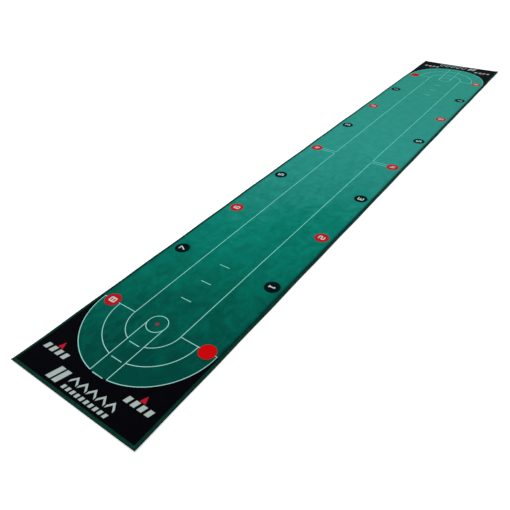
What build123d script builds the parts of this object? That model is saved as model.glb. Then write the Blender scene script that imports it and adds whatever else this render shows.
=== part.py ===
from build123d import *
import os

# Practice putting mat: printed velour glued to a rubber backing, with an overlocked edge all round.
# Frame: X along the mat, Y across it, Z up. The origin is on the floor under the middle of the mat.
# The near end is at -X and the left side at +Y. All sizes are in millimetres.

# Overall size: ten feet by one and a half feet
mat_length = 3048.0
mat_width = 457.2
corner_radius = 4.0

# Laminate, from the floor up
rubber_thickness = 3.0
film_thickness = 0.2
cloth_thickness = 1.8

# Overlock sewing
stitch_width = 9.5          # from the outer edge in to the needle line
thread_thickness = 0.6      # how far the threads press into the laminate on each face
needle_row_width = 0.8      # the needle thread's row, at the inner side of the stitch

mat_thickness = rubber_thickness + film_thickness + cloth_thickness
film_bottom = rubber_thickness
cloth_bottom = rubber_thickness + film_thickness
looper_meeting_height = mat_thickness / 2
looper_reach = stitch_width - needle_row_width
half_length = mat_length / 2
half_width = mat_width / 2


def slab(length, width, radius, bottom, top):
    """A flat rectangular slab, centred on the mat, with rounded corners where radius is over 0."""
    outline = RectangleRounded(length, width, radius) if radius > 0 else Rectangle(length, width)
    return Pos(0, 0, bottom) * extrude(outline, amount=top - bottom)


def block(low_x, high_x, low_y, high_y, low_z, high_z):
    """An upright box between two corners."""
    corner_box = Box(high_x - low_x, high_y - low_y, high_z - low_z, align=(Align.MIN, Align.MIN, Align.MIN))
    return Pos(low_x, low_y, low_z) * corner_box


def laminate_layer(bottom, top):
    """One layer of the laminate. Under the sewing it is thinner and stops short of the outer edge."""
    field = slab(mat_length - 2 * stitch_width, mat_width - 2 * stitch_width, 0, bottom, top)
    margin_bottom = max(bottom, thread_thickness)
    margin_top = min(top, mat_thickness - thread_thickness)
    margin = slab(
        mat_length - 2 * thread_thickness,
        mat_width - 2 * thread_thickness,
        corner_radius - thread_thickness,
        margin_bottom,
        margin_top,
    )
    return field + margin


def thread_space():
    """Everything inside the mat's outer shape that the laminate leaves to the threads."""
    envelope = slab(mat_length, mat_width, corner_radius, 0, mat_thickness)
    return envelope - laminate_layer(0, mat_thickness)


def side_strip(side, inner, outer, bottom, top):
    """A box along one side, from inner to outer (both measured in from the edge), between corners."""
    run_x = half_length - stitch_width
    run_y = half_width - stitch_width
    if side == "near":
        return block(-half_length + outer, -half_length + inner, -run_y, run_y, bottom, top)
    if side == "far":
        return block(half_length - inner, half_length - outer, -run_y, run_y, bottom, top)
    if side == "left":
        return block(-run_x, run_x, half_width - inner, half_width - outer, bottom, top)
    return block(-run_x, run_x, -half_width + outer, -half_width + inner, bottom, top)


def needle_thread(side):
    """The needle thread's straight row on the cloth, at the inner side of the stitch."""
    row_bottom = mat_thickness - thread_thickness
    return side_strip(side, stitch_width, looper_reach, row_bottom, mat_thickness)


def upper_looper(space, side):
    """The thread that covers the top of the margin and the upper half of the edge."""
    return space & side_strip(side, looper_reach, 0, looper_meeting_height, mat_thickness)


def lower_looper(space, side):
    """The thread that covers the underside of the margin and the lower half of the edge."""
    return space & side_strip(side, stitch_width, 0, 0, looper_meeting_height)


def corner_tails(space):
    """Four caps of folded chain, one round each corner, over, under and outside the laminate."""
    caps = []
    for side_x in (-1, 1):
        for side_y in (-1, 1):
            low_x = min(side_x * half_length, side_x * (half_length - stitch_width))
            low_y = min(side_y * half_width, side_y * (half_width - stitch_width))
            corner = block(low_x, low_x + stitch_width, low_y, low_y + stitch_width, 0, mat_thickness)
            caps.append((space & corner).solid())
    return Compound(caps)


def make_parts():
    """Every sub-part of the mat, by name."""
    space = thread_space()
    parts = {
        "rubber_backing": laminate_layer(0, film_bottom),
        "bonding_film": laminate_layer(film_bottom, cloth_bottom),
        "face_cloth": laminate_layer(cloth_bottom, mat_thickness),
        "corner_tails": corner_tails(space),
    }
    for side in ("near", "far", "left", "right"):
        parts[side + "_needle_thread"] = needle_thread(side)
        parts[side + "_upper_looper"] = upper_looper(space, side)
        parts[side + "_lower_looper"] = lower_looper(space, side)
    return parts


os.makedirs("parts", exist_ok=True)
for name, shape in make_parts().items():
    export_step(shape, "parts/" + name + ".step")
    print(name, len(shape.solids()), "solid(s)", round(shape.volume), "mm3")
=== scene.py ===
import bpy
import numpy as np
from mathutils import Matrix, Vector


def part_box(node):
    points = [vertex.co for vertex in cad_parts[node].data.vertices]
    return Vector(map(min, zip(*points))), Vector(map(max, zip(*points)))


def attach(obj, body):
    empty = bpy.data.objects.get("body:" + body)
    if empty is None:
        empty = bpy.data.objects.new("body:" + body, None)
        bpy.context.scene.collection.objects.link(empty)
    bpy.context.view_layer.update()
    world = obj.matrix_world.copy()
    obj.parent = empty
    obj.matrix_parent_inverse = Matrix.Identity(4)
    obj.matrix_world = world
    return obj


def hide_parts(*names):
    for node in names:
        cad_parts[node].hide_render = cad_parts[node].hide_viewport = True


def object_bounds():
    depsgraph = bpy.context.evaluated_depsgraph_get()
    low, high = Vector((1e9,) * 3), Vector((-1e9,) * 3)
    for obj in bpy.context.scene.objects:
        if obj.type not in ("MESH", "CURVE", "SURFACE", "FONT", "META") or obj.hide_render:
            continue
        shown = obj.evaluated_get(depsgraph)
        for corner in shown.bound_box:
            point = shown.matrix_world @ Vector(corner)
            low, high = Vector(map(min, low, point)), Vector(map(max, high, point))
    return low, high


# Practice putting mat: printed velour on a rubber backing, overlocked all round.
# Metres. X runs along the mat, Y across it, Z up; the near end is at -X, the left side at +Y.

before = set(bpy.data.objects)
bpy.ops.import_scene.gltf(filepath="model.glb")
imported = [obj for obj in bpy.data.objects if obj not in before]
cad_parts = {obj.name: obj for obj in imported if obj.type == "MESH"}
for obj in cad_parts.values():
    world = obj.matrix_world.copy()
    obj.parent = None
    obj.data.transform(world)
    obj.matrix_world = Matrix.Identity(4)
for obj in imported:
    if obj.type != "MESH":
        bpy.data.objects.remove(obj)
cadLow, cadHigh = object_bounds()
mm = 0.001
halfLength, halfWidth = cadHigh.x, cadHigh.y
foot = (cadHigh.x - cadLow.x) / 10        # the printed discs stand a foot apart
clothLow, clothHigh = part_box("face_cloth")
filmLow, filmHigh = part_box("bonding_film")
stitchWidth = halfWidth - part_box("left_needle_thread")[0].y
print("frame loaded, mat", round(cadHigh.x - cadLow.x, 4), "by", round(cadHigh.y - cadLow.y, 4))


def linear(red, green, blue):
    # a screen colour, 0 to 255, as the shader's linear colour
    c = np.array([red, green, blue]) / 255
    return tuple(np.where(c <= 0.04045, c / 12.92, ((c + 0.055) / 1.055) ** 2.4)) + (1.0,)


# How the mat lies. It was rolled up, so its ends and long edges aren't quite flat.
lying = {
    "edgeSwell": 1.3 * mm,       # how far the long edges rise off the floor between low spots
    "edgeSwellLength": 0.71,
    "smallSwell": (0.37, 0.3),   # a second, smaller swell: its length and height, as shares of the first
    "endCurl": 1.6 * mm,         # how far the near end curls up
    "farCurl": 0.7,              # the far end's curl, as a share of it
    "endCurlReach": 0.09,
    "cornerCurl": 0.8 * mm,
    "cornerCurlReach": 0.12,
    "bow": 1.6 * mm,             # the whole mat bends sideways this much in its middle
    "sewnWander": 0.5 * mm,      # how far the sewn edge wanders in and out
    "sewnWaves": 23.0,           # radians of that per metre
}


def liftAt(x, y):
    # height of the underside over the floor, never below 0: squared sines along the long edges
    # that fade towards the middle, and a rise like exp(-distance / reach) at the ends and corners
    towardsEdge = np.clip(np.abs(y / halfWidth), 0, 1.02) ** 3
    phase = np.where(y > 0, 0.4, 1.7)
    length, height = lying["smallSwell"]
    swell = np.sin(np.pi * x / lying["edgeSwellLength"] + phase) ** 2
    smaller = np.sin(np.pi * x / (length * lying["edgeSwellLength"]) + 2 * phase) ** 2
    raised = towardsEdge * lying["edgeSwell"] * (swell + height * smaller) / (1 + height)
    fromEnd = halfLength - np.abs(x)
    fromSide = halfWidth - np.abs(y)
    thisEnd = np.where(x < 0, 1.0, lying["farCurl"])
    curl = lying["endCurl"] * thisEnd * np.exp(-fromEnd / lying["endCurlReach"])
    corner = lying["cornerCurl"] * np.exp(-np.hypot(fromEnd, fromSide) / lying["cornerCurlReach"])
    return raised + curl + corner


def layDown(points):
    # flat points to where they lie: lifted by liftAt, and moved sideways by a half cosine bow
    # and by a small sine that grows with the fourth power of the distance from the middle line
    x, y, z = points[..., 0], points[..., 1], points[..., 2]
    bow = lying["bow"] * (np.cos(np.pi * x / (2 * halfLength)) - 0.5)
    wave = np.sin(lying["sewnWaves"] * x + np.where(y > 0, 0.0, 2.0))
    wander = lying["sewnWander"] * (y / halfWidth) ** 4 * wave
    return np.stack([x, y + bow + wander, z + liftAt(x, y)], -1)


def addPiece(name, points, faces, material, slotName, nodes=(), uv=None):
    # one smooth mesh at the origin, on the mat's one body
    mesh = bpy.data.meshes.new(name)
    faces = faces if isinstance(faces, list) else faces.tolist()
    mesh.from_pydata(points.reshape(-1, 3).tolist(), [], faces)
    mesh.polygons.foreach_set("use_smooth", np.ones(len(mesh.polygons), bool))
    if uv is not None:
        layer = mesh.uv_layers.new(name="alongThread")
        layer.data.foreach_set("uv", uv.astype(np.float32).ravel())
    mesh.materials.append(material)
    mesh.validate()
    piece = bpy.data.objects.new(name, mesh)
    bpy.context.scene.collection.objects.link(piece)
    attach(piece, "root")
    if nodes:
        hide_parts(*nodes)
    return piece


def sharpenAt(piece, degrees):
    # corners sharper than this many degrees keep a hard edge
    piece.data.set_sharp_from_angle(angle=np.radians(degrees))


def gridQuads(rows, columns, rowsLoop=False):
    # quads of a grid of rows by columns, counter-clockwise where rows run along X and columns along Y
    i = np.arange(rows if rowsLoop else rows - 1)[:, None]
    j = np.arange(columns - 1)[None, :]
    k = (i + 1) % rows
    here, there = i * columns + j, k * columns + j
    return np.stack(np.broadcast_arrays(here, there, there + 1, here + 1), -1).reshape(-1, 4)


def nodeTools(owner):
    # short ways to add a node with its inputs set or joined, and one step of arithmetic
    tree = owner.node_tree

    def add(kind, settings=None, **inputs):
        # an input goes by its name, or by i and its number
        node = tree.nodes.new(kind)
        for key, value in (settings or {}).items():
            setattr(node, key, value)
        for key, value in inputs.items():
            byNumber = key[0] == "i" and key[1:].isdigit()
            socket = node.inputs[int(key[1:]) if byNumber else key]
            if isinstance(value, bpy.types.NodeSocket):
                tree.links.new(value, socket)
            else:
                socket.default_value = value
        return node

    def sums(operation, *values):
        inputs = {"i" + str(order): value for order, value in enumerate(values)}
        return add("ShaderNodeMath", {"operation": operation}, **inputs).outputs[0]
    return add, sums, tree


def noiseOf(add, place, scale, detail, warp=0.0):
    # noise from 0 to 1
    node = add("ShaderNodeTexNoise", Vector=place, Scale=scale, Detail=detail, Distortion=warp)
    return node.outputs["Fac"]


def scaled(add, colour, brightness):
    # colour * brightness
    return add("ShaderNodeVectorMath", {"operation": "SCALE"}, i0=colour, Scale=brightness).outputs[0]


def bumped(add, height, strength, distance):
    # a bent normal from a height
    return add("ShaderNodeBump", Strength=strength, Distance=distance, Height=height).outputs[0]


def colourRamp(add, share, colours):
    # straight steps between these colours, each at its own share
    ramp = add("ShaderNodeValToRGB", Fac=share)
    stops = ramp.color_ramp.elements
    while len(stops) < len(colours):
        stops.new(0.5)
    for stop, (at, colour) in zip(stops, colours):
        stop.position = at
        stop.color = colour
    return ramp.outputs[0]


def greys(steps, unit):
    # a ramp's stops from pairs of a place and a brightness
    return [(at / unit, (tone, tone, tone, 1)) for at, tone in steps]


def newMaterial(name):
    # a material and its shader
    material = bpy.data.materials.new(name)
    material.use_nodes = True
    shader = material.node_tree.nodes["Principled BSDF"]
    return material, shader


def dress(tree, shader, specular, colour, bump, rough):
    # the outcome of a material's nodes goes to its shader
    tree.links.new(colour, shader.inputs["Base Color"])
    tree.links.new(bump, shader.inputs["Normal"])
    tree.links.new(rough, shader.inputs["Roughness"])
    shader.inputs["Specular IOR Level"].default_value = specular


# The velour. Seen at a slant its pile's tips catch the light. Its green is painted darker at the near end
# and lighter towards the far end: painted sheen of the pile at a slant. Handling leaves soft marks there.
velourLook = {
    "stretch": (1.0, 1.35, 1.0),     # marks are this much shorter across the mat than along it
    "brushMark": 0.042,              # metres across a mark left by handling
    "broadPatch": 0.34,
    "streak": (0.011, 0.055),        # a streak's width along the mat and its length across it
    "streakTurn": 0.25,
    "streakShare": 0.6,              # streaks against handled marks
    "pileGrain": 0.0022,
    "pileBump": 0.00035,
    "bumpStrength": 0.6,
    "roughness": 0.99,               # less this much where the pile's noise is high
    "roughnessVaries": 0.14,
    "sheenRoughness": 0.4,
    "shadesFrom": -1.36,             # where along the mat the inks' shares begin and end
    "shadesTo": 1.36,
    "shadesSlant": 0.40,             # lines of equal shade run this much askew
    "uneven": 0.16,                  # how far the shares wander
    # painted shade: the pile is darker beside the sewing, over a wider strip on the right
    "paintedShadeBesideSewing": [(9.0, 0.30), (11.5, 0.60), (15.0, 0.86), (21.0, 1.0)],   # brightness by mm inside
    "paintedShadeWiderRight": 2.5 * mm,         # that dark strip is so much wider on the right, narrower on the left
}


def velour(name, inks, sheenTint, sheenWeight, marks=0.05, grain=0.10):
    # with noises from 0 to 1: colour = ink * (1 + marks * (2 handled + 1.2 streaks - 1.6) +
    # grain * (2 grains - 1)). One ink is used as it is. Several are colours by share of the way along:
    # (x + slant * y - from) / length + uneven * (handled + patches - 1), and painted shade near the
    # sewing
    look = velourLook
    material, shader = newMaterial(name)
    add, sums, tree = nodeTools(material)
    place = add("ShaderNodeTexCoord").outputs["Object"]
    flat = add("ShaderNodeMapping", i0=place, Scale=look["stretch"]).outputs[0]
    turned = add("ShaderNodeMapping", i0=place, Rotation=(0, 0, look["streakTurn"])).outputs[0]
    wide, long = look["streak"]
    stretched = add("ShaderNodeMapping", i0=turned, Scale=(1 / wide, 1 / long, 1.0)).outputs[0]
    streaks = noiseOf(add, stretched, 1.0, 2.0)
    handled = noiseOf(add, flat, 1 / look["brushMark"], 3.0, 0.8)
    patches = noiseOf(add, flat, 1 / look["broadPatch"], 2.0, 0.4)
    grains = noiseOf(add, flat, 1 / look["pileGrain"], 1.0)
    brightness = sums("MULTIPLY_ADD", handled, 2 * marks, 1.0 - marks)
    brightness = sums("MULTIPLY_ADD", streaks, 2 * look["streakShare"] * marks, brightness)
    brightness = sums("MULTIPLY_ADD", grains, 2 * grain, brightness)
    brightness = sums("ADD", brightness, -grain - look["streakShare"] * marks)
    ink = inks[0][1][:3]
    if len(inks) > 1:
        parts = add("ShaderNodeSeparateXYZ", i0=place)
        share = sums("MULTIPLY_ADD", parts.outputs[1], look["shadesSlant"], parts.outputs[0])
        length = look["shadesTo"] - look["shadesFrom"]
        share = sums("MULTIPLY_ADD", share, 1 / length, -look["shadesFrom"] / length)
        share = sums("MULTIPLY_ADD", handled, look["uneven"], share)
        share = sums("MULTIPLY_ADD", patches, look["uneven"], share)
        share = sums("ADD", share, -look["uneven"])
        ink = colourRamp(add, share, inks)
        # painted shade close to the sewn edge, wider on the right
        beyondEnd = sums("ADD", sums("ABSOLUTE", parts.outputs[0]), -halfLength)
        aside = sums("ADD", parts.outputs[1], -look["paintedShadeWiderRight"])
        beyondSide = sums("ADD", sums("ABSOLUTE", aside), -halfWidth)
        beyond = sums("MAXIMUM", beyondEnd, beyondSide)
        margin = look["paintedShadeBesideSewing"][-1][0]
        inside = sums("MULTIPLY", beyond, -1 / (margin * mm))
        shades = greys(look["paintedShadeBesideSewing"], margin)
        brightness = sums("MULTIPLY", brightness, colourRamp(add, inside, shades))
    colour = scaled(add, ink, brightness)
    pile = noiseOf(add, place, 1 / look["pileGrain"], 3.0)
    bump = bumped(add, pile, look["bumpStrength"], look["pileBump"])
    rough = sums("MULTIPLY_ADD", pile, -look["roughnessVaries"], look["roughness"])
    dress(tree, shader, 0.0, colour, bump, rough)
    shader.inputs["Sheen Weight"].default_value = sheenWeight
    shader.inputs["Sheen Roughness"].default_value = look["sheenRoughness"]
    shader.inputs["Sheen Tint"].default_value = sheenTint
    return material


yarnLook = {
    "plies": 0.12,               # how much lighter and darker the plies are
    "plyDepth": 0.00012,
    "uneven": (220.0, 0.55),     # scale and strength of the thread's own unevenness
    "fade": (60.0, 1.4),         # and of the lighter and darker stretches along the edge
    "darkest": 0.03,
    "roughness": 0.6,
    "specular": 0.06,
}


def yarn(name, dye, turns):
    # plied yarn: tone = darkest + plies * sine + uneven * noise + fade * noise, where the sine is of
    # a whole turn times (turns * place along the thread + place round it)
    look = yarnLook
    material, shader = newMaterial(name)
    add, sums, tree = nodeTools(material)
    place = add("ShaderNodeTexCoord").outputs["Object"]
    along = add("ShaderNodeUVMap", {"uv_map": "alongThread"}).outputs[0]
    parts = add("ShaderNodeSeparateXYZ", i0=along)
    slant = sums("MULTIPLY_ADD", parts.outputs[0], turns, parts.outputs[1])
    plies = sums("SINE", sums("MULTIPLY", slant, 2 * np.pi))
    uneven = noiseOf(add, place, look["uneven"][0], 2.0)
    fade = noiseOf(add, place, look["fade"][0], 2.0)
    tone = sums("MULTIPLY_ADD", plies, look["plies"], look["darkest"])
    tone = sums("MULTIPLY_ADD", uneven, look["uneven"][1], tone)
    tone = sums("MULTIPLY_ADD", fade, look["fade"][1], tone)
    bump = bumped(add, plies, 0.7, look["plyDepth"])
    rough = sums("MULTIPLY_ADD", uneven, 0.2, look["roughness"])
    dress(tree, shader, look["specular"], scaled(add, dye[:3], tone), bump, rough)
    return material


rubberLook = {
    "grey": linear(38, 38, 40)[:3],
    "pores": (900.0, 0.4),       # scale and strength of its pores
    "poreDepth": 0.0003,
    "dust": (7.0, 0.9),          # and of pale dust
    "darkest": 0.5,
}


def rubber(name):
    # black foam rubber: tone = darkest + dust * noise + pores * noise
    look = rubberLook
    material, shader = newMaterial(name)
    add, sums, tree = nodeTools(material)
    place = add("ShaderNodeTexCoord").outputs["Object"]
    pores = noiseOf(add, place, look["pores"][0], 3.0)
    dust = noiseOf(add, place, look["dust"][0], 4.0, 0.6)
    tone = sums("MULTIPLY_ADD", dust, look["dust"][1], look["darkest"])
    tone = sums("MULTIPLY_ADD", pores, look["pores"][1], tone)
    bump = bumped(add, pores, 0.5, look["poreDepth"])
    rough = sums("MULTIPLY_ADD", dust, 0.2, 0.7)
    dress(tree, shader, 0.3, scaled(add, look["grey"], tone), bump, rough)
    return material


def glueFilm(name):
    # milky heat-set glue: tone = 0.85 + 0.3 noise
    material, shader = newMaterial(name)
    add, sums, tree = nodeTools(material)
    place = add("ShaderNodeTexCoord").outputs["Object"]
    tone = sums("MULTIPLY_ADD", noiseOf(add, place, 60.0, 3.0), 0.3, 0.85)
    tree.links.new(scaled(add, linear(222, 218, 205)[:3], tone), shader.inputs["Base Color"])
    shader.inputs["Roughness"].default_value = 0.45
    return material


# Inks are colours by share of the way along the mat, from the near end.
# The green's rise from its dark near end to its lighter far end is painted sheen.
greenWithPaintedSheen = [(0.00, (0.0003, 0.058, 0.043, 1)), (0.14, (0.0003, 0.128, 0.088, 1)),
             (0.27, (0.0010, 0.190, 0.136, 1)), (0.39, (0.0150, 0.232, 0.188, 1)),
             (0.54, (0.0260, 0.272, 0.222, 1)), (0.64, (0.0270, 0.267, 0.215, 1)),
             (0.76, (0.0265, 0.258, 0.199, 1)), (0.94, (0.0270, 0.246, 0.180, 1))]
greenVelour = velour("green velour", greenWithPaintedSheen, (0.10, 0.95, 0.85, 1), 0.6, marks=0.22, grain=0.16)
blackVelour = velour("black velour", [(0, (0.0021, 0.0020, 0.0032, 1))], (0.5, 0.7, 0.8, 1), 0.06,
                     marks=0.4)
paleInks = [(0.0, linear(164, 223, 213)), (0.18, linear(142, 226, 214)), (0.5, linear(126, 228, 216))]
paleInk = velour("pale mint print", paleInks, (0.32, 0.98, 0.92, 1), 1.0)
numeralInk = velour("white print", [(0, linear(200, 212, 206))], (0.7, 0.8, 0.8, 1), 0.3)
greyInk = velour("grey print", [(0, linear(172, 188, 183))], (0.6, 0.7, 0.7, 1), 0.1)
plainRed = velour("bright red print", [(0, linear(207, 9, 13))], (0.9, 0.3, 0.3, 1), 0.05)
crimsonInk = velour("crimson print", [(0, linear(190, 22, 46))], (0.7, 0.6, 0.6, 1), 0.20)
discRed = velour("red print", [(0, linear(180, 18, 28))], (0.7, 0.7, 0.7, 1), 0.26)
discBlack = velour("black print", [(0, linear(2, 15, 19))], (0.15, 0.85, 0.85, 1), 0.17)
looperYarn = yarn("looper yarn", linear(8, 59, 48), turns=1.0)
# its darker colour is painted shade along the mat's lower rim
lowerYarnInPaintedShade = yarn("lower looper yarn, painted shade", linear(3, 26, 21), turns=1.0)
needleYarn = yarn("needle yarn", linear(4, 38, 31), turns=1.5)
backingRubber = rubber("backing rubber")
milkyGlue = glueFilm("glue")
print("materials made")


laminate = {
    "edge": 0.6 * mm,             # the laminate stops this far inside the sewn outline
    "cornerRadius": 3.4 * mm,
    "crushed": 0.6 * mm,          # the pile is pressed down this much under the sewing
    "crushedSlope": 2.2 * mm,     # and comes up again over this distance beside it
    "rim": 0.8 * mm,              # the cloth's outer rim is rounded over this much
    "rimDrop": 0.45 * mm,
    "step": 10 * mm,
    "beside": 14 * mm,            # inside this much of the edge, places are closer than a step
    "filmGap": 0.01 * mm,         # between the glue and what it glues
    "waffle": 4.1 * mm,           # half a cell of the rubber's waffle
    "waffleDepth": 0.7 * mm,
    "underSewing": 0.6 * mm,      # the rubber is pressed up this much under the sewing
}


def insetOf(x, y):
    # how far a point is inside the sewn outline, by the nearest side
    return np.minimum(halfLength - np.abs(x), halfWidth - np.abs(y))


def clothTop(x, y):
    # the pile's top: a smooth step t * t * (3 - 2t) from the crushed margin up to the field
    t = np.clip((insetOf(x, y) - stitchWidth + 0.3 * mm) / laminate["crushedSlope"], 0, 1)
    return clothHigh.z - laminate["crushed"] * (1 - t * t * (3 - 2 * t))


def stations(half, step, near=()):
    # places along one axis: even steps over the field, with closer ones given as insets from each end
    inner = half - laminate["beside"]
    steps = np.linspace(-inner, inner, int(round(2 * inner / step)) + 1)
    close = half - np.array(near)
    return np.unique(np.round(np.concatenate([steps, close, -close]), 7))


def roundOff(x, y):
    # points beyond a corner's arc are pulled in onto it, along the line to the arc's centre
    radius = laminate["cornerRadius"]
    centreX = halfLength - laminate["edge"] - radius
    centreY = halfWidth - laminate["edge"] - radius
    overX, overY = np.abs(x) - centreX, np.abs(y) - centreY
    away = np.hypot(overX, overY)
    beyond = (overX > 0) & (overY > 0) & (away > radius)
    k = np.where(beyond, radius / np.maximum(away, 1e-9), 1.0)
    x = np.where(beyond, np.sign(x) * (centreX + overX * k), x)
    y = np.where(beyond, np.sign(y) * (centreY + overY * k), y)
    return x, y


def layer(name, xs, topYs, topZ, bottomYs, bottomZ, material, slotName, node):
    # a closed slab: at each place along the mat the section goes across the top and back underneath,
    # and the sections are joined in a loop with a flat face at either end
    def surface(ys, height):
        x, y = roundOff(*np.meshgrid(xs, ys, indexing="ij"))
        return np.stack([x, y, height(x, y)], -1)
    section = np.concatenate([surface(topYs, topZ), surface(bottomYs[::-1], bottomZ)], 1)
    rows, columns = section.shape[:2]
    first = np.arange(rows) * columns
    last = first + columns - 1
    side = np.stack([last[:-1], last[1:], first[1:], first[:-1]], -1)
    around = np.concatenate([gridQuads(rows, columns), side])
    ends = [list(range(columns)), list(range((rows - 1) * columns, rows * columns))[::-1]]
    piece = addPiece(name, layDown(section), around.tolist() + ends, material, slotName, [node])
    sharpenAt(piece, 50)
    return piece


def level(height):
    # a flat face at this height
    return lambda x, y: np.full_like(x, height)


# Insets of the places beside the stitches, where the pile rises, and of those from the edge in to them
besideStitch = stitchWidth + np.array([-0.5, -0.3, 0.3, 0.85, 1.4, 1.95, 2.6]) * mm
edgeInsets = np.concatenate([np.array([0.6, 1.0, 1.4, 2.4, 5.0]) * mm, besideStitch])
clothXs = stations(halfLength, laminate["step"], edgeInsets)
clothYs = stations(halfWidth, laminate["step"], edgeInsets)
clothUnderYs = stations(halfWidth, 4 * laminate["step"], edgeInsets[[0, 3, 5]])


def clothRim(x, y):
    # the cloth's top, which drops with the square of the distance out over its rim
    out = np.clip((laminate["edge"] + laminate["rim"] - insetOf(x, y)) / laminate["rim"], 0, 1)
    return clothTop(x, y) - laminate["rimDrop"] * out ** 2


cloth = layer("velour_cloth", clothXs, clothYs, clothRim, clothUnderYs, level(clothLow.z),
              greenVelour, "printed_velour", "face_cloth")
glueXs = stations(halfLength, 3 * laminate["step"], edgeInsets[2:3])
glueYs = stations(halfWidth, 4 * laminate["step"], edgeInsets[[2, 5]])
glueTop, glueUnder = level(filmHigh.z - laminate["filmGap"]), level(filmLow.z + laminate["filmGap"])
glue = layer("glue_layer", glueXs, glueYs, glueTop, glueYs, glueUnder,
             milkyGlue, "glue_film", "bonding_film")


def waffleStations(half):
    # places along one axis: the waffle's half cells inside the sewing, and the edge and the sewing's line
    inside = half - stitchWidth - 2.1 * mm
    inner = np.linspace(-inside, inside, int(2 * inside / laminate["waffle"]) + 1)
    close = half - np.array([laminate["edge"], stitchWidth])
    return np.unique(np.round(np.concatenate([inner, close, -close]), 7))


rubberXs, rubberYs = waffleStations(halfLength), waffleStations(halfWidth)


def checkered(x, y):
    # odd and even places of the waffle's own grid, high and low in turn, and level under the sewing
    i = np.searchsorted(rubberXs, x - 1e-6)
    j = np.searchsorted(rubberYs, y - 1e-6)
    field = np.clip((insetOf(x, y) - stitchWidth) / (2 * mm), 0, 1)
    return laminate["underSewing"] * (1 - field) + laminate["waffleDepth"] * ((i + j) % 2) * field


backing = layer("rubber_sheet", rubberXs, clothUnderYs, level(filmLow.z), rubberYs, checkered,
                backingRubber, "backing_rubber", "rubber_backing")
print("laminate laid:", [len(p.data.polygons) for p in (cloth, glue, backing)], "faces")


inkLayers = {
    "level": 0.12 * mm,           # each ink lies this much over the one below
    "apart": 0.004 * mm,          # films of one ink that cross differ by this, in turns of nine
    "sunk": 0.25 * mm,            # how deep they are sunk into the pile
}
marking = {
    "line": 2.2 * mm,             # width of the pale lines
    "row": halfLength - foot,     # the target's middle is a foot from each end
    "lane": 87.5 * mm,            # half the lane between the discs, and the inner arc's radius
    "middleArc": 150.0 * mm,
    "outerArc": 212.5 * mm,
    "channel": 30.7 * mm,
    "hole": 31.5 * mm,
    "centreDot": 5.0 * mm,
    "dash": 19.0 * mm,            # half the length of the short dashes
    "ticks": (120 * mm, 211 * mm, 304.8 * mm),
    "middleGap": 7.5 * mm,
    "turn": 5.0 * mm,
    "discRow": 180.6 * mm,
    "disc": 25.4 * mm,
    "underDisc": 1 * mm,          # a line ends this far in under a disc
    "pastArc": 2 * mm,            # and this far past the outer arc
    "shortOfRow": 3 * mm,         # the channel's lines stop this short of the target's middle
}


def film(grids, layerNumber):
    # thin closed films of ink: each grid of flat points is a top at height = pile's top + number *
    # level + (order % 9) * apart, sunk a little into the pile; a ring's last row joins its first
    points, faces, start = [], [], 0
    for order, (grid, ring) in enumerate(grids):
        across = np.diff(grid, axis=1)
        along = np.roll(grid, -1, 0) - grid
        if not ring:
            across, along = across[:-1], along[:-1]
        along = along[:, :-1]
        if np.sum(along[..., 0] * across[..., 1] - along[..., 1] * across[..., 0]) < 0:
            grid = grid[::-1]
        rows, columns = grid.shape[:2]
        x, y = grid[..., 0], grid[..., 1]
        base = clothTop(x, y)
        height = base + layerNumber * inkLayers["level"] + (order % 9) * inkLayers["apart"]
        top = np.stack([x, y, height], -1)
        under = np.stack([x, y, base - inkLayers["sunk"]], -1)
        quads = gridQuads(rows, columns, ring)
        lower = rows * columns
        index = np.arange(lower).reshape(rows, columns)
        if ring:
            rims = [np.append(index[:, 0], index[0, 0])[::-1], np.append(index[:, -1], index[0, -1])]
        else:
            rim = [index[:-1, 0], index[-1, :-1], index[:0:-1, -1], index[0, :0:-1], index[:1, 0]]
            rims = [np.concatenate(rim)[::-1]]
        walls = [np.stack([r[:-1], r[1:], r[1:] + lower, r[:-1] + lower], -1) for r in rims]
        points += [top.reshape(-1, 3), under.reshape(-1, 3)]
        faces += [quads + start, quads[:, ::-1] + lower + start] + [w + start for w in walls]
        start += 2 * lower
    return layDown(np.concatenate(points)), np.concatenate(faces)


def printed(name, grids, layerNumber, ink):
    # one ink's films as a piece
    points, faces = film(grids, layerNumber)
    piece = addPiece(name, points, faces, ink, "printed_velour")
    sharpenAt(piece, 40)
    return piece


def band(path, width, closed=False):
    # a line of even width: each point of the path moved half the width to either side of its direction
    path = np.asarray(path, float)
    if closed:
        direction = np.roll(path, -1, 0) - np.roll(path, 1, 0)
    else:
        direction = np.gradient(path, axis=0)
    direction /= np.linalg.norm(direction, axis=1, keepdims=True)
    side = np.stack([-direction[:, 1], direction[:, 0]], -1) * width / 2
    return np.stack([path - side, path, path + side], 1), closed


def straight(x0, y0, x1, y1, step=12 * mm):
    # points along a straight line, no further apart than the step
    count = max(2, int(np.hypot(x1 - x0, y1 - y0) / step) + 1)
    t = np.linspace(0, 1, count)[:, None]
    return np.array([[x0, y0]]) * (1 - t) + np.array([[x1, y1]]) * t


def arc(cx, cy, radius, start, end, count=48):
    # points round a circle between two angles in degrees
    a = np.radians(np.linspace(start, end, count))
    return np.stack([cx + radius * np.cos(a), cy + radius * np.sin(a)], -1)


def disc(cx, cy, radius, count=15):
    # a round patch without a pole: a square grid's u times sqrt(1 - v * v / 2), and v times the same of u
    u, v = np.meshgrid(np.linspace(-1, 1, count), np.linspace(-1, 1, count), indexing="ij")
    x, y = u * np.sqrt(1 - v * v / 2), v * np.sqrt(1 - u * u / 2)
    return np.stack([cx + radius * x, cy + radius * y], -1), False


def halfTurn(grids):
    # the far end's print is the near end's, turned half round
    return [(-grid, ring) for grid, ring in grids]


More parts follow.
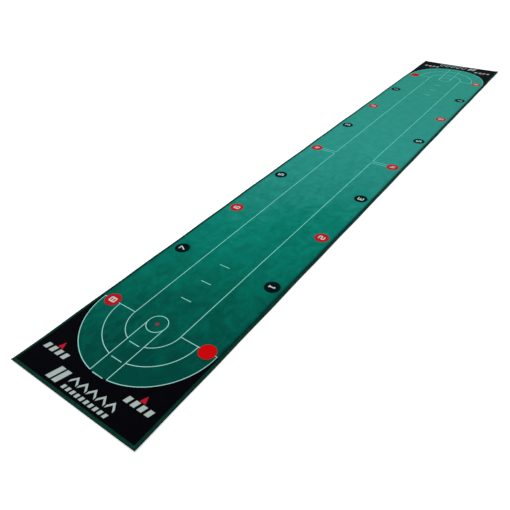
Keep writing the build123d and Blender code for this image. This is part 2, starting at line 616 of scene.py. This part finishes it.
def endPanel():
    # the black end: rows at y = radius * sin over the outer arc, columns from the sewn end to the arc
    radius, row = marking["outerArc"], -marking["row"]
    bend = radius * np.sin(np.radians(np.linspace(-90, 90, 73)))
    beside = np.concatenate([[radius + marking["pastArc"]], (halfWidth - besideStitch)[::-1]])
    ys = np.concatenate([-beside[::-1], bend, beside])
    inside = row - np.sqrt(np.maximum(radius ** 2 - ys ** 2, 0))
    close = -halfLength + besideStitch
    t = np.linspace(0, 1, 24)[1:]
    spread = close[-1] + (inside[:, None] - close[-1]) * t
    xs = np.concatenate([np.broadcast_to(close, (len(ys), len(close))), spread], 1)
    grid = np.stack([xs, np.broadcast_to(ys[:, None], xs.shape)], -1)
    return [(grid, False)]


def targetLines():
    # every pale line round the near target and down to the middle of the mat
    w, row, lane = marking["line"], -marking["row"], marking["lane"]
    channel, dash = marking["channel"], marking["dash"]
    out = []
    for s in (-1, 1):
        for radius in (marking["middleArc"], marking["outerArc"]):
            low = np.degrees(np.arcsin(channel / radius))
            out.append(band(arc(row, 0, radius, 180 - s * low, 180 - s * 90), w))
        low = np.degrees(np.arcsin(channel / lane))
        turn, gap = marking["turn"], marking["middleGap"]
        corner = arc(-gap - turn, s * (lane + turn), turn, -s * 90, 0, 7)
        toDisc = marking["discRow"] - marking["disc"] + marking["underDisc"]
        out.append(band(np.concatenate([
            arc(row, 0, lane, 180 - s * low, 180 - s * 90),
            straight(row, s * lane, -gap - turn, s * lane)[1:],
            corner[1:],
            straight(-gap, s * (lane + turn), -gap, s * toDisc)[1:]]), w))
        past = marking["outerArc"] + marking["pastArc"]
        out.append(band(straight(row, s * lane, row, s * past), w))
        reach = np.sqrt(marking["outerArc"] ** 2 - channel ** 2)
        shortOf = row - marking["shortOfRow"]
        out.append(band(straight(row - reach, s * channel, shortOf, s * channel), w))
    for radius in (lane, marking["middleArc"], marking["outerArc"]):
        out.append(band(straight(row - radius, -dash, row - radius, dash), w))
    for ahead in marking["ticks"]:
        out.append(band(straight(row + ahead, -dash, row + ahead, dash), w))
    out.append(band(arc(row, 0, marking["hole"], 0, 360, 73)[:-1], w, closed=True))
    return out


def strokePath(corners, turn, closed=False):
    # a path through the corners, each corner cut by a curve (1-t)(1-t)A + 2t(1-t)C + ttB
    c = np.asarray(corners, float)
    if closed:
        before, at, after = np.roll(c, 1, 0), c, np.roll(c, -1, 0)
    else:
        before, at, after = c[:-2], c[1:-1], c[2:]
    if len(at):
        a = at + (before - at) * (turn / np.linalg.norm(before - at, axis=1, keepdims=True))
        b = at + (after - at) * (turn / np.linalg.norm(after - at, axis=1, keepdims=True))
        t = np.linspace(0, 1, 6)[None, :, None]
        bent = (1 - t) ** 2 * a[:, None] + 2 * t * (1 - t) * at[:, None] + t * t * b[:, None]
        bent = bent.reshape(-1, 2)
    else:
        bent = np.zeros((0, 2))
    return bent if closed else np.concatenate([c[:1], bent, c[-1:]])


# Plain squarish numerals, as the middle lines of their strokes, in units of half their width and height
numeral = {"halfWide": 7.6 * mm, "halfTall": 9.6 * mm, "stroke": 4.3 * mm, "turn": 2.7 * mm}
numeralStrokes = {
    1: [[(-.5, .62), (.08, 1), (.08, -1)], [(-.55, -1), (.7, -1)]],
    2: [[(-1, 1), (1, 1), (1, .03), (-1, .03), (-1, -1), (1, -1)]],
    3: [[(-1, 1), (1, 1), (1, -1), (-1, -1)], [(-.55, 0), (.9, 0)]],
    4: [[(-.85, 1), (-.85, -.22), (1.12, -.22)], [(.5, 1), (.5, -1.18)]],
    5: [[(1, 1), (-1, 1), (-1, .06), (1, .06), (1, -1), (-1, -1)]],
    6: [[(.9, 1), (-1, 1), (-1, -1), (1, -1), (1, .06), (-.9, .06)]],
    7: [[(-1, 1), (1, 1), (-.6, -1.12)]],
    8: [[(-1, -1), (1, -1), (1, 1), (-1, 1)], [(-.9, 0), (.9, 0)]],
}


def numeralAt(digit, cx, cy, turned):
    # one numeral on its disc; the right row's are turned half round so they read from that side
    way = -1 if turned else 1
    size = np.array([numeral["halfWide"], numeral["halfTall"]])
    out = []
    for order, stroke in enumerate(numeralStrokes[digit]):
        closed = digit == 8 and order == 0
        path = strokePath(np.array(stroke) * size, numeral["turn"], closed)
        out.append(band(np.array([cx, cy]) + way * path, numeral["stroke"], closed))
    return out


discs = {"red": [], "black": [], "plain": []}
numerals = []
for count in range(9):
    x = (count - 4) * foot
    for side, digit in ((1, 8 - count), (-1, count)):
        kind = "plain" if digit == 0 else ("red" if digit % 2 == 0 else "black")
        discs[kind].append(disc(x, side * marking["discRow"], marking["disc"]))
        if digit:
            numerals += numeralAt(digit, x, side * marking["discRow"], side < 0)


# Plain shapes at each end: u runs across the mat to the right, v along it towards the middle
signs = {
    "slant": 0.28,                # how far the bars lean, as a share of their height
    "smallRow": {"v": -1448 * mm, "tall": 19 * mm, "bars": 4, "fill": 0.62},
    "smallRows": {"middle": 154 * mm, "wide": 90 * mm},
    "bigBars": {"v": -1506 * mm, "tall": 43 * mm, "u": (-109 * mm, -57 * mm), "bars": 2, "fill": 0.72},
    "arrows": {"v": -1487 * mm, "tall": 26 * mm, "u": (-47 * mm, 118 * mm), "count": 5,
               "thick": 9 * mm, "reach": 0.42},
    "thinRow": {"v": -1507 * mm, "tall": 12 * mm, "u": (-48 * mm, 114 * mm), "bars": 10, "fill": 0.6},
    "triangle": {"base": -1426 * mm, "tip": -1406 * mm, "halfWide": 9.5 * mm, "tipHalfWide": 0.3 * mm},
}


def leaningBars(row, u0, u1):
    # a row of equal slanted bars between u0 and u1, each filling this share of its space
    lean = signs["slant"] * row["tall"]
    pitch = (u1 - lean - u0) / (row["bars"] - 1 + row["fill"])
    a = np.linspace(0, 1, 3)[:, None]
    b = np.linspace(0, 1, 4)[None, :]
    out = []
    for k in range(row["bars"]):
        u = u0 + k * pitch + a * pitch * row["fill"] + b * lean
        out.append((np.stack([row["v"] + b * row["tall"] + 0 * a, -u], -1), False))
    return out


def arrowHeads(row):
    # chevrons in a row that point towards the middle of the mat
    u0, u1 = row["u"]
    pitch = (u1 - u0) / row["count"]
    t = np.linspace(-1, 1, 9)[:, None]
    b = np.linspace(0, 1, 3)[None, :]
    rise = (row["tall"] - row["thick"]) * (1 - np.abs(t))
    out = []
    for k in range(row["count"]):
        across = u0 + (k + 0.5) * pitch + pitch * row["reach"] * t
        out.append((np.stack([row["v"] + rise + b * row["thick"], -(across + 0 * b)], -1), False))
    return out


def endSigns():
    # the near end's grey shapes
    out = []
    half = signs["smallRows"]["wide"] / 2
    for middle in (-signs["smallRows"]["middle"], signs["smallRows"]["middle"]):
        out += leaningBars(signs["smallRow"], middle - half, middle + half)
    out += leaningBars(signs["bigBars"], *signs["bigBars"]["u"])
    out += arrowHeads(signs["arrows"])
    out += leaningBars(signs["thinRow"], *signs["thinRow"]["u"])
    return out


def triangles():
    # a triangle over each small row, as a grid whose rows shorten evenly towards the tip
    t = signs["triangle"]
    v = np.linspace(0, 1, 7)[:, None]
    u = np.linspace(-1, 1, 5)[None, :]
    x = t["base"] + (t["tip"] - t["base"]) * v
    out = []
    for middle in (-signs["smallRows"]["middle"], signs["smallRows"]["middle"]):
        y = middle + u * (t["halfWide"] * (1 - v) + t["tipHalfWide"] * v)
        out.append((np.stack([x + 0 * u, y], -1), False))
    return out


nearLines, nearSigns, nearTriangles = targetLines(), endSigns(), triangles()
dot = [disc(-marking["row"], 0, marking["centreDot"], 9)]
prints = [
    printed("black_panel_near", endPanel(), 1, blackVelour),
    printed("black_panel_far", halfTurn(endPanel()), 1, blackVelour),
    printed("pale_lines_near", nearLines, 2, paleInk),
    printed("pale_lines_far", halfTurn(nearLines), 2, paleInk),
    printed("grey_signs_near", nearSigns, 2, greyInk),
    printed("grey_signs_far", halfTurn(nearSigns), 2, greyInk),
    printed("red_triangles_near", nearTriangles, 2, crimsonInk),
    printed("red_triangles_far", halfTurn(nearTriangles), 2, crimsonInk),
    printed("hole_dots", dot + halfTurn(dot), 2, crimsonInk),
    printed("plain_discs", discs["plain"], 3, plainRed),
    printed("red_discs", discs["red"], 3, discRed),
    printed("black_discs", discs["black"], 3, discBlack),
    printed("numerals", numerals, 4, numeralInk),
]
print("print made:", len(prints), "pieces")


sewing = {
    "pitch": 3.0 * mm,            # one stitch
    "turnsPerStitch": 10,         # rings of the tube in a stitch
    "sides": 5,
    "intoCorner": 0.2 * mm,       # a looper's row runs this far into each corner
    # a looper's section is the way from its inner end over the edge, as mm inside the outline and mm up
    "upper": {"wide": 0.74 * mm, "thick": 0.36 * mm,
              "section": [(8.8, 4.70), (6.5, 4.80), (3.4, 4.80), (1.6, 4.66), (0.75, 4.25),
                          (0.36, 3.6), (0.34, 2.5)]},
    "lower": {"wide": 0.72 * mm, "thick": 0.29 * mm,
              "section": [(9.1, 0.31), (6.0, 0.31), (2.6, 0.31), (1.2, 0.42), (0.55, 0.95),
                          (0.34, 1.7), (0.34, 2.6)]},
    "needle": {"wide": 0.36 * mm, "thick": 0.30 * mm, "inset": 9.1 * mm, "low": 4.42 * mm,
               "rise": 0.36 * mm},
    "unevenReach": 0.03,          # no two stitches are alike: how far each one's reach, its place
    "unevenPlace": 0.16 * mm,     # along the side and its height may be off
    "unevenHeight": 0.04 * mm,
    "unevenRow": 0.1 * mm,        # and the needle row's place
    "seed": 7,
}
sides = {
    "near": (Vector((-1, 0, 0)), halfWidth, halfLength),
    "far": (Vector((1, 0, 0)), halfWidth, halfLength),
    "left": (Vector((0, 1, 0)), halfLength, halfWidth),
    "right": (Vector((0, -1, 0)), halfLength, halfWidth),
}


def tube(path, flatWay, wide, thick, rings, sides):
    # an oval section carried along the path: its long axis lies across the path in the surface, its
    # short axis along the surface's own normal, flatWay; both ends are closed by a flat face
    direction = np.gradient(path, axis=0)
    direction /= np.linalg.norm(direction, axis=1, keepdims=True)
    across = np.cross(flatWay, direction)
    across /= np.linalg.norm(across, axis=1, keepdims=True)
    normal = np.cross(direction, across)
    a = np.arange(sides) * 2 * np.pi / sides
    ring = (path[:, None] + across[:, None] * (wide * np.cos(a))[None, :, None]
            + normal[:, None] * (thick * np.sin(a))[None, :, None])
    count = len(path)
    i = np.arange(count - 1)[:, None]
    j = np.arange(sides)[None, :]
    k = (j + 1) % sides
    here, there = i * sides, (i + 1) * sides
    quads = np.stack(np.broadcast_arrays(here + j, here + k, there + k, there + j), -1).reshape(-1, 4)
    u, v = np.broadcast_arrays(i / rings, j / sides)
    nextU, nextV = u + 1 / rings, v + 1 / sides
    uv = [np.stack(pair, -1) for pair in ((u, v), (u, nextV), (nextU, nextV), (nextU, v))]
    uv = np.stack(uv, 2)
    caps = [list(range(sides))[::-1], list(range((count - 1) * sides, count * sides))]
    return ring.reshape(-1, 3), quads, uv.reshape(-1, 2), caps, sides


def threadPiece(name, tubes, material, slotName, nodes):
    # several tubes as one mesh
    points, faces, uvs, start = [], [], [], 0
    for ring, quads, uv, caps, count in tubes:
        points.append(ring)
        faces += (quads + start).tolist() + [[v + start for v in cap] for cap in caps]
        uvs += [uv, np.zeros((2 * count, 2))]
        start += len(ring)
    points, uvs = layDown(np.concatenate(points)), np.concatenate(uvs)
    return addPiece(name, points, faces, material, slotName, nodes, uvs)


def jitter(rng, stitches, rings, amount):
    # one random number for each stitch, eased from stitch to stitch
    t = np.arange(stitches * rings + 1) / rings
    return np.interp(t, np.arange(stitches + 1), rng.uniform(-amount, amount, stitches + 1))


def sectionAt(section, s):
    # inset, height and outward normal of the section at share s of its length
    p = np.array(section) * mm
    length = np.concatenate([[0], np.cumsum(np.linalg.norm(np.diff(p, axis=0), axis=1))])
    length /= length[-1]
    inset, height = np.interp(s, length, p[:, 0]), np.interp(s, length, p[:, 1])
    slope = np.gradient(p, axis=0)
    slopeIn, slopeUp = np.interp(s, length, slope[:, 0]), np.interp(s, length, slope[:, 1])
    size = np.hypot(slopeIn, slopeUp)
    return inset, height, slopeUp / size, -slopeIn / size


def looper(side, which, rng, flip):
    # the looper's thread: across the section and back in each stitch, as share 0.5 - 0.5 cos, while it
    # moves evenly along the side
    outward, run, reach = sides[side]
    along = outward.cross(Vector((0, 0, 1)))
    made = sewing[which]
    rings = sewing["turnsPerStitch"]
    start = run - stitchWidth + sewing["intoCorner"]
    stitches = int(round(2 * start / sewing["pitch"]))
    t = np.arange(stitches * rings + 1) / rings
    share = 0.5 - 0.5 * np.cos(2 * np.pi * (t + flip))
    share = np.clip(share + jitter(rng, stitches, rings, sewing["unevenReach"]), 0, 1)
    place = -start + 2 * start * t / stitches + jitter(rng, stitches, rings, sewing["unevenPlace"])
    inset, height, normalOut, normalUp = sectionAt(made["section"], share)
    height = height + jitter(rng, stitches, rings, sewing["unevenHeight"]) * (which == "upper")
    path = np.outer(place, along) + np.outer(reach - inset, outward) + np.outer(height, (0, 0, 1))
    turned = 1 if which == "upper" else -1
    flatWay = np.outer(np.abs(normalOut), outward) + np.outer(turned * np.abs(normalUp), (0, 0, 1))
    return tube(path, flatWay, made["wide"], made["thick"], rings, sewing["sides"])


def needleRow(side, rng):
    # the needle's thread: a row of low humps, height low + rise * sqrt(|sin|), one for each stitch
    outward, run, reach = sides[side]
    along = outward.cross(Vector((0, 0, 1)))
    made = sewing["needle"]
    rings = 6
    start = run - stitchWidth
    stitches = int(round(2 * start / sewing["pitch"]))
    t = np.arange(stitches * rings + 1) / rings
    place = -start + 2 * start * t / stitches
    height = made["low"] + made["rise"] * np.sqrt(np.abs(np.sin(np.pi * t)))
    inset = made["inset"] + jitter(rng, stitches, rings, sewing["unevenRow"])
    path = np.outer(place, along) + np.outer(reach - inset, outward) + np.outer(height, (0, 0, 1))
    flatWay = np.broadcast_to(np.array([0.0, 0.0, 1.0]), path.shape)
    return tube(path, flatWay, made["wide"], made["thick"], rings, 4)


rng = np.random.default_rng(sewing["seed"])
threads = []
for side in sides:
    upper = [looper(side, "upper", rng, 0.0)]
    lower = [looper(side, "lower", rng, 0.5)]
    needle = [needleRow(side, rng)]
    threads += [
        threadPiece(side + "_upper_thread", upper, looperYarn, "looper_yarn", [side + "_upper_looper"]),
        threadPiece(side + "_lower_thread", lower, lowerYarnInPaintedShade, "looper_yarn", [side + "_lower_looper"]),
        threadPiece(side + "_needle_row", needle, needleYarn, "needle_yarn", [side + "_needle_thread"]),
    ]
print("sewing made:", [len(p.data.polygons) for p in threads])

corners = {
    "radius": 4.0 * mm,
    "fan": 6,                     # stitches that turn round a corner
    "pivot": 9.1 * mm,            # their inner ends stay this far inside both sides, less the gap
    "pivotGap": 0.3 * mm,
    "thinner": 0.9,               # turning stitches are this much narrower than the others
    "knot": {"turns": 4, "radius": 1.9 * mm, "swell": (0.55, 0.45), "smaller": 0.7,
             "inset": 1.5 * mm, "low": 0.7 * mm, "high": 4.7 * mm, "wide": 0.5 * mm},
    "tail": {"start": 3.0 * mm, "length": 9 * mm, "inset": 1.9 * mm, "sway": 0.6 * mm,
             "over": 0.45 * mm, "sink": 0.2 * mm, "wide": 0.385 * mm, "twist": 2.2 * mm,
             "spread": (0.5 * mm, 0.3 * mm)},
}


def cornerRound(signX, signY, w):
    # a point of the sewn outline at share w of its way round the corner, and its outward direction:
    # straight, then a quarter circle, then straight
    r = corners["radius"]
    flat = stitchWidth - r
    total = 2 * flat + r * np.pi / 2
    s = np.clip(w, 0, 1) * total
    angle = np.clip((s - flat) / r, 0, np.pi / 2)
    over = np.clip(s - flat - r * np.pi / 2, 0, flat)
    before = np.clip(flat - s, 0, flat)
    x = halfLength - r + r * np.cos(angle) - over
    y = halfWidth - r + r * np.sin(angle) - before
    outward = np.stack([signX * np.cos(angle), signY * np.sin(angle)], -1)
    return np.stack([signX * x, signY * y], -1), outward


def cornerFan(signX, signY, which, flip):
    # the looper's thread turning round a corner: its inner end stays by one point while its outer end
    # moves round the outline
    made = sewing[which]
    rings = sewing["turnsPerStitch"]
    t = np.arange(corners["fan"] * rings + 1) / rings
    w = t / corners["fan"]
    if signX * signY < 0:
        w = 1 - w
    share = 0.5 - 0.5 * np.cos(2 * np.pi * (t + flip))
    inset, height, normalOut, normalUp = sectionAt(made["section"], share)
    edge, outward = cornerRound(signX, signY, w)
    pivot = np.array([halfLength, halfWidth]) - corners["pivot"]
    inward = pivot * (signX, signY) - edge
    reach = np.linalg.norm(inward, axis=1, keepdims=True)
    deepest = made["section"][0][0] * mm
    at = edge + inward / reach * (inset[:, None] / deepest * (reach - corners["pivotGap"]))
    path = np.concatenate([at, height[:, None]], 1)
    turned = 1 if which == "upper" else -1
    flatWay = [outward * np.abs(normalOut)[:, None], turned * np.abs(normalUp)[:, None]]
    flatWay = np.concatenate(flatWay, 1)
    return tube(path, flatWay, made["wide"] * corners["thinner"], made["thick"], rings, sewing["sides"])


def tailStrand(signX, signY, phase):
    # one strand of the thread chain left at a corner and folded back along the short side: a flattened
    # helix about a line that lies on the stitches, sways out by a sine and sinks evenly
    tail = corners["tail"]
    t = np.linspace(0, 1, 28)
    swing = 2 * np.pi * tail["length"] / tail["twist"] / 3 * t + phase
    across, above = tail["spread"]
    aside = tail["sway"] * np.sin(2.2 * t) + across * np.cos(swing)
    x = signX * (halfLength - tail["inset"] + aside)
    y = signY * (halfWidth - tail["start"] - tail["length"] * t)
    z = clothHigh.z + tail["over"] + above * np.sin(swing) - tail["sink"] * t
    path = np.stack([x, y, z], -1)
    flatWay = np.broadcast_to(np.array([0.0, 0.0, 1.0]), path.shape)
    return tube(path, flatWay, tail["wide"], tail["wide"], 6, 6)


def knot(signX, signY):
    # the chain's own knot at a corner: a short upright coil, its radius swelling as sin along its
    # height; the one at the near left is the thickest
    made = corners["knot"]
    t = np.linspace(0, 1, made["turns"] * 12 + 1)
    swing = 2 * np.pi * made["turns"] * t
    ends, middle = made["swell"]
    radius = made["radius"] * (ends + middle * np.sin(np.pi * t))
    if (signX, signY) != (-1, 1):
        radius = radius * made["smaller"]
    x = signX * (halfLength - made["inset"]) + radius * np.cos(swing)
    y = signY * (halfWidth - made["inset"]) + radius * np.sin(swing)
    z = made["low"] + (made["high"] - made["low"]) * t
    outward = np.stack([np.cos(swing), np.sin(swing), 0 * t], -1)
    return tube(np.stack([x, y, z], -1), outward, made["wide"], made["wide"], 12, 6)


overCorners, underCorners = [], []
for signX in (-1, 1):
    for signY in (-1, 1):
        overCorners += [cornerFan(signX, signY, "upper", 0.0), knot(signX, signY)]
        overCorners += [tailStrand(signX, signY, p) for p in (0.0, 2.1, 4.2)]
        underCorners.append(cornerFan(signX, signY, "lower", 0.5))
threads.append(threadPiece("corner_chains", overCorners, looperYarn, "looper_yarn", ["corner_tails"]))
threads.append(threadPiece("corner_under_threads", underCorners, lowerYarnInPaintedShade, "looper_yarn", []))
print("corners sewn")


studio = {
    "floor": 0.92,
    "floorGlow": 0.45,            # a lit white table under the mat
    "floorHalf": 60.0,
    "floorGap": 0.2 * mm,
    "sky": [(0.18, 1.0), (0.50, 0.56)],     # brightness by height of the direction
    "overhead": {"place": (-0.9, 0.4, 3.0), "aim": (-0.5, 0.0, 0.0), "size": (3.0, 2.4), "power": 36},
}


def makeFloor():
    # a plain pale floor, one large quad a hair under the mat
    material, shader = newMaterial("floor")
    shader.inputs["Base Color"].default_value = (studio["floor"],) * 3 + (1,)
    shader.inputs["Roughness"].default_value = 0.9
    shader.inputs["Specular IOR Level"].default_value = 0.1
    shader.inputs["Emission Color"].default_value = (1, 1, 1, 1)
    shader.inputs["Emission Strength"].default_value = studio["floorGlow"]
    mesh = bpy.data.meshes.new("floor")
    r, low = studio["floorHalf"], -studio["floorGap"]
    mesh.from_pydata([(-r, -r, low), (r, -r, low), (r, r, low), (-r, r, low)], [], [(0, 1, 2, 3)])
    mesh.materials.append(material)
    floor = bpy.data.objects.new("floor", mesh)
    bpy.context.scene.collection.objects.link(floor)


def softLight(name, place, aim, size, power):
    # a rectangle of light that faces its aim
    light = bpy.data.lights.new(name, "AREA")
    light.shape = "RECTANGLE"
    light.size, light.size_y = size
    light.energy = power
    lamp = bpy.data.objects.new(name, light)
    lamp.location = place
    lamp.rotation_mode = "QUATERNION"
    lamp.rotation_quaternion = (Vector(aim) - Vector(place)).to_track_quat("-Z", "Y")
    bpy.context.scene.collection.objects.link(lamp)


def brightSky():
    # a white room: brightest level with the floor and softer overhead, by the direction's height
    world = bpy.data.worlds.new("studio")
    world.use_nodes = True
    add, sums, tree = nodeTools(world)
    way = add("ShaderNodeSeparateXYZ", i0=add("ShaderNodeTexCoord").outputs["Generated"])
    shade = colourRamp(add, way.outputs[2], greys(studio["sky"], 1.0))
    tree.links.new(shade, tree.nodes["Background"].inputs["Color"])
    bpy.context.scene.world = world


makeFloor()
softLight("overhead", **studio["overhead"])
brightSky()
bpy.context.scene.view_settings.view_transform = "Standard"

cameraPlace = {
    "stand": (-1.8274, -0.7926, 0.9714),
    "look": (0.63901, 0.47061, -0.60843),
    "up": (0.50899, 0.33435, 0.79319),
    "lens": 34.31,
    "sensor": 36.0,
    "clip": (0.02, 200.0),
}


def makeCamera():
    # the camera's own axes: it looks along -Z with Y up
    back = -Vector(cameraPlace["look"]).normalized()
    right = Vector(cameraPlace["up"]).cross(back).normalized()
    up = back.cross(right)
    data = bpy.data.cameras.new("camera")
    data.lens, data.sensor_width = cameraPlace["lens"], cameraPlace["sensor"]
    data.clip_start, data.clip_end = cameraPlace["clip"]
    camera = bpy.data.objects.new("camera", data)
    bpy.context.scene.collection.objects.link(camera)
    turn = Matrix((right, up, back)).transposed().to_4x4()
    camera.matrix_world = Matrix.Translation(cameraPlace["stand"]) @ turn
    bpy.context.scene.camera = camera


makeCamera()
print("studio ready")
